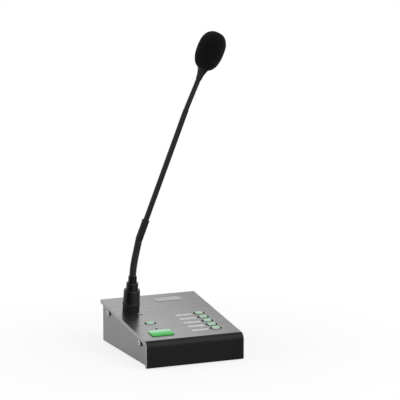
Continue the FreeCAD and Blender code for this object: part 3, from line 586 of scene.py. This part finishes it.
def sheath(name, wire, place_at, start, end, pivot, reach, node):
    """One stretch of wound sheath across a joint, from the middle of one link to the middle of the next."""
    radius, bore, pitch = wire["radius"], wire["bore"], wire["pitch"]
    rows = max(4, round((end - start) / pitch * wire["rows"]))
    heights = [start + (end - start) * row / rows for row in range(rows + 1)]
    profile = [(radius, height) for height in heights] + [(bore, end), (bore, start)]
    form = turned(profile, 56)
    for vertex in form.verts:
        across = math.hypot(vertex.co.x, vertex.co.y)
        angle = math.atan2(vertex.co.y, vertex.co.x)
        distance = vertex.co.z
        if across > (radius + bore) / 2:
            depth = wire["groove"] * wound_wire(distance / pitch - angle / math.tau)
            vertex.co.xy *= (across - depth) / across
        vertex.co = leaning(*place_at(distance)) @ Vector((vertex.co.x, vertex.co.y, 0))
    piece = finished(name, form, "rod_black", crease=70.0)
    low = leaning(*place_at(pivot - reach)).translation
    high = leaning(*place_at(pivot + reach)).translation
    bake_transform(piece)
    if node:
        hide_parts(node)


def sheaths(part, wire, place_at, first, length, links, low_end, overlap):
    """Flexible stretch, one piece of sheath for each of its joints."""
    step = (length - first) / links
    for number in range(links + 1):
        lowest = number == 0
        highest = number == links
        pivot = first + step * number
        start = low_end if lowest else pivot - step / 2
        end = pivot + overlap if highest else pivot + step / 2
        reach = first if lowest else step / 2
        node = None if highest else f"{part}_link_{number + 1}"
        sheath(f"{part}_sheath_{number + 1}", wire, place_at, start, end, pivot, reach, node)


def foam_outline(height):
    """Radius of the foam by height above its lower end."""
    widest = foam_length * foam_widest
    power = foam_lower_power if height < widest else foam_upper_power
    reach = widest if height < widest else foam_length - widest
    return foam_radius * max(0.0, 1 - (abs(height - widest) / reach) ** power) ** (1 / power)


def windscreen():
    """Egg-shaped foam with a bore for the housing and a fine uneven skin."""
    rows = 200
    steps = 280
    lump_fineness = 160
    cell_fineness = 1100
    widest = foam_length * foam_widest
    rim_angle = math.acos(1 - foam_bottom / widest)
    profile = [(housing_neck, housing_reach + housing_length), (housing_neck, housing_length + foam_bottom)]
    for row in range(rows + 1):
        turn = rim_angle + (math.pi - rim_angle) * row / rows
        reach = widest if turn < math.pi / 2 else foam_length - widest
        height = widest - reach * math.cos(turn)
        radius = 0.0 if row == rows else foam_outline(height)
        profile.append((radius, housing_length + height))
    profile.insert(0, (0.0, housing_reach + housing_length))
    form = turned(profile, steps)
    form.normal_update()
    bore_limit = housing_neck + 0.0001
    for vertex in form.verts:
        if vertex.co.xy.length < bore_limit and vertex.co.z < housing_length + housing_reach + 0.001:
            continue
        lumps = noise.noise(vertex.co * lump_fineness) * 0.00018
        cells = noise.noise(vertex.co * cell_fineness) * 0.00015
        vertex.co += vertex.normal * (lumps + cells - 0.0001)
    form.transform(head_frame)
    piece = finished("windscreen_foam", form, "black_foam", "head", ["windscreen"], crease=180.0)


def ferrule():
    """Smooth sleeve over the tube's lower end, with a lip at its top, open for the flexible stretch."""
    mouth = 0.001
    wall = 0.0003
    lip_radius = ferrule_radius + 0.0004
    lip_low = ferrule_length - 0.0008
    profile = [(0.0, mouth), (ferrule_radius - wall, mouth), (ferrule_radius - wall, -0.0002),
               (ferrule_radius, -0.0002), (ferrule_radius, lip_low), (lip_radius, lip_low),
               (lip_radius, ferrule_length), (tube_radius, ferrule_length), (tube_radius, ferrule_core),
               (0.0, ferrule_core)]
    form = turned(profile, 64, rounding=0.00012)
    form.transform(leaning(*tube_place(0.0)))
    finished("ferrule_sleeve", form, "rod_black", "neck_rod", ["neck_ferrule"])


def cable_contacts():
    """Spring wires on the floor of each cable socket's mouth, rising towards its back."""
    front = 1.6 * mm
    back = mouth_depth - 0.4 * mm
    rise = 2.9 * mm
    for number, middle in enumerate(link_xs, 1):
        form = bmesh.new()
        for place in range(wire_count):
            x = middle + (place - (wire_count - 1) / 2) * wire_pitch
            size = Matrix.Diagonal((wire_width, back - front, wire_thickness, 1.0))
            bmesh.ops.create_cube(form, size=1.0, matrix=Matrix.Translation((x, 0, 0)) @ size)
        lengthwise = [edge for edge in form.edges if abs((edge.verts[0].co - edge.verts[1].co).y) > front]
        bmesh.ops.subdivide_edges(form, edges=lengthwise, cuts=8)
        for vertex in form.verts:
            along = min(1.0, vertex.co.y / (back - front) + 0.5)
            vertex.co += Vector((0, link_face - (back + front) / 2,
                                 mouth_floor + wire_thickness + rise * (1 - along) ** 1.3))
        bmesh.ops.recalc_face_normals(form, faces=form.faces)
        finished(f"link_contacts_{number}", form, "contact_brass", "base")


dress_nodes()
windscreen()
sheaths("lower", lower_wire, lower_place, lower_first, lower_length, lower_links,
        bush_top - lower_start - 0.001, 0.001)
sheaths("upper", upper_wire, upper_place, upper_first, upper_length, upper_links,
        0.0, 0.0002)
ferrule()
cable_contacts()


def make_camera():
    """Camera at the photograph's viewing angle."""
    data = bpy.data.cameras.new("camera")
    data.lens = camera_lens
    data.clip_start = 0.1
    data.clip_end = 60.0
    camera = bpy.data.objects.new("camera", data)
    bpy.context.collection.objects.link(camera)
    level = math.cos(camera_rise)
    back = Vector((math.sin(camera_turn) * level, -math.cos(camera_turn) * level, math.sin(camera_rise)))
    camera.location = camera_target + back * camera_distance
    camera.rotation_mode = "QUATERNION"
    camera.rotation_quaternion = back.to_track_quat("Z", "Y")
    bpy.context.scene.camera = camera


def make_world():
    """White to the camera; to gloss, brightest low behind the object; even to the rest."""
    beyond = (0.3, 0.954, 0.0)
    even_light = 0.5
    world = bpy.data.worlds.new("studio")
    bpy.context.scene.world = world
    world.use_nodes = True
    tree = world.node_tree
    background = tree.nodes["Background"]
    way = add(tree, "TexCoord").outputs["Generated"]
    height = add(tree, "SeparateXYZ", {0: way}).outputs[2]
    behind = spread(tree, dot(tree, way, beyond), 0.35, 0.85, 0.65, 1.0, smooth=True)
    low_down = spread(tree, height, 0.15, 0.8, 1.1, 0.75, smooth=True)
    seen = add(tree, "LightPath").outputs
    gloss = sums(tree, "MAXIMUM", seen["Is Glossy Ray"], seen["Is Transmission Ray"])
    light = sums(tree, "ADD", sums(tree, "MULTIPLY", sums(tree, "MULTIPLY", behind, low_down), gloss),
                 sums(tree, "MULTIPLY", inverse(tree, gloss), even_light))
    strength = sums(tree, "MAXIMUM", light, seen["Is Camera Ray"])
    background.inputs["Color"].default_value = (1.0, 1.0, 1.0, 1.0)
    tree.links.new(strength, background.inputs["Strength"])


def make_lamp(name, place, target, size, power, mirrored):
    """Soft square lamp that faces a target, and can be left out of reflections."""
    data = bpy.data.lights.new(name, "AREA")
    data.energy = power
    data.size = size
    lamp = bpy.data.objects.new(name, data)
    bpy.context.collection.objects.link(lamp)
    lamp.location = place
    lamp.rotation_mode = "QUATERNION"
    lamp.rotation_quaternion = (Vector(place) - Vector(target)).to_track_quat("Z", "Y")
    lamp.visible_glossy = mirrored


def make_floor():
    """Plain white floor that keeps a soft shadow near the object, and shades what gloss sees of it."""
    beyond = (-0.35, 0.937, 0.0)
    ahead = (-0.15, -0.989, 0.0)
    form = bmesh.new()
    bmesh.ops.create_grid(form, x_segments=1, y_segments=1, size=15.0)
    mesh = bpy.data.meshes.new("floor")
    form.to_mesh(mesh)
    form.free()
    floor = bpy.data.objects.new("floor", mesh)
    bpy.context.collection.objects.link(floor)
    material, tree, shader = new_finish("floor_white", Base_Color=(0.86, 0.86, 0.86), Roughness=1.0,
                                        Specular_IOR_Level=0.0)
    place = own_place(tree)
    seen = add(tree, "LightPath").outputs
    reach = add(tree, "VectorMath", {0: place}, operation="LENGTH").outputs["Value"]
    heading = add(tree, "VectorMath", {0: place}, operation="NORMALIZE").outputs[0]
    lit = spread(tree, dot(tree, heading, beyond), 0.3, 0.8, 0.05, 1.0, smooth=True)
    lit = sums(tree, "MULTIPLY", lit, spread(tree, reach, 0.3, 0.55, 0.4, 1.0, smooth=True))
    fore = spread(tree, dot(tree, heading, ahead), 0.6, 1.0, 0.05, 0.45, smooth=True)
    fore = sums(tree, "MULTIPLY", fore, spread(tree, reach, 0.15, 0.4, 0.4, 1.0, smooth=True))
    gloss = seen["Is Glossy Ray"]
    strength = sums(tree, "ADD", sums(tree, "MULTIPLY", gloss, sums(tree, "MAXIMUM", lit, fore)),
                    inverse(tree, gloss))
    far = spread(tree, reach, 0.1, 0.35, 0.8, 1.0, smooth=True)
    share = sums(tree, "MULTIPLY", seen["Is Camera Ray"], far)
    glow = add(tree, "Emission", {"Color": (1.0, 1.0, 1.0, 1.0), "Strength": strength}).outputs[0]
    both = add(tree, "MixShader", {0: sums(tree, "MAXIMUM", share, gloss),
                                   1: tree.nodes["Principled BSDF"].outputs[0], 2: glow}).outputs[0]
    tree.links.new(both, tree.nodes["Material Output"].inputs["Surface"])
    mesh.materials.append(material)


make_camera()
make_world()
make_lamp("overhead_softbox", (0.6, -1.1, 1.15), (0, 0, 0.05), 1.4, 16.0, mirrored=True)
make_lamp("left_softbox", (-1.6, 0.2, 0.7), (0, 0, 0.1), 1.0, 11.0, mirrored=False)
make_floor()
bpy.context.scene.view_settings.view_transform = "Standard"
